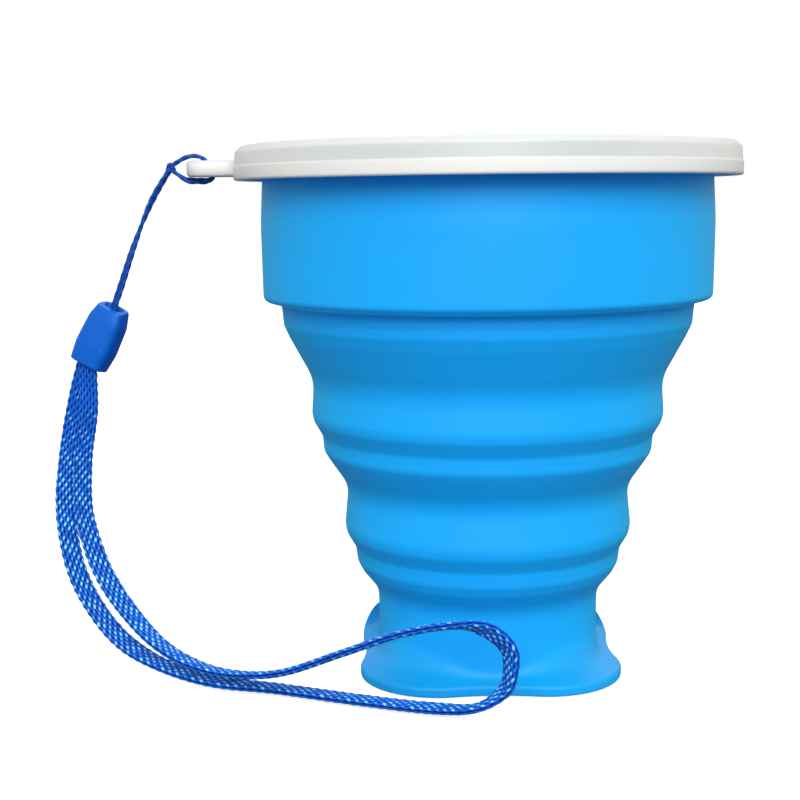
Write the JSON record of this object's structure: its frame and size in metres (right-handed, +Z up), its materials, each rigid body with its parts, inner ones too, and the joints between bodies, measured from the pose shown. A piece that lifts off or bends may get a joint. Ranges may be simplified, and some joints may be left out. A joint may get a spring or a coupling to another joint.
{
  "type": "collapsible travel cup",
  "caption": "Collapsible silicone travel cup with stepped folding rings, a lobed foot, a press-on lid with a lug, and a corded wrist lanyard.",
  "frame": {"origin": "centre of the foot's flat underside, on the cup's axis, with the cup open and upright", "axes": "+Z up the cup's axis towards the lid, the lid's lug points to -X, and -Y is the side that the wrist strap lies on"},
  "size_m": [0.1214, 0.088, 0.0924],
  "materials": {
    "silicone_ring": "satin, soft sheen",
    "silicone_fold": "satin, soft sheen",
    "lid": "milky, semi-gloss",
    "cord": "twisted nylon",
    "sleeve": "moulded, semi-gloss",
    "crimp": "pressed tube",
    "strap": "tubular braid"
  },
  "bodies": {
    "rim": {"rim_ring": "silicone_ring", "upper_fold": "silicone_fold"},
    "middle": {"middle_ring": "silicone_ring", "middle_fold": "silicone_fold"},
    "lower": {"lower_ring": "silicone_ring", "lower_fold": "silicone_fold"},
    "foot": {"foot_base": "silicone_ring"},
    "lid": {"lid": "lid"},
    "cord": {"cord": "cord"},
    "sleeve": {"connector_sleeve": "sleeve", "strap_crimp": "crimp"},
    "strap": {"wrist_strap": "strap"}
  },
  "joints": [
    {"name": "upper_collapse", "type": "slide", "parent": "rim", "child": "middle", "axis": [0, 0, 1], "range_m": [0, 0.024], "deforming": ["upper_fold"]},
    {"name": "middle_collapse", "type": "slide", "parent": "middle", "child": "lower", "axis": [0, 0, 1], "range_m": [0, 0.02], "deforming": ["middle_fold"]},
    {"name": "lower_collapse", "type": "slide", "parent": "lower", "child": "foot", "axis": [0, 0, 1], "range_m": [0, 0.0165], "deforming": ["lower_fold"]},
    {"name": "lid_lift", "type": "slide", "parent": "rim", "child": "lid", "axis": [0, 0, 1], "range_m": [0, 0.03]},
    {"name": "cord_swing", "type": "hinge", "parent": "lid", "child": "cord", "pos_m": [-0.0512, 0, 0.08875], "axis": [0, 1, 0], "range_deg": [0, 80]},
    {"name": "sleeve_swing", "type": "hinge", "parent": "cord", "child": "sleeve", "pos_m": [-0.0666, 0, 0.0633], "axis": [0.3059, 0.9397, -0.153], "range_deg": [0, 45]},
    {"name": "strap_swing", "type": "hinge", "parent": "sleeve", "child": "strap", "pos_m": [-0.07185, 0, 0.0528], "axis": [0.8405, -0.342, -0.4202], "range_deg": [-45, 0]}
  ]
}
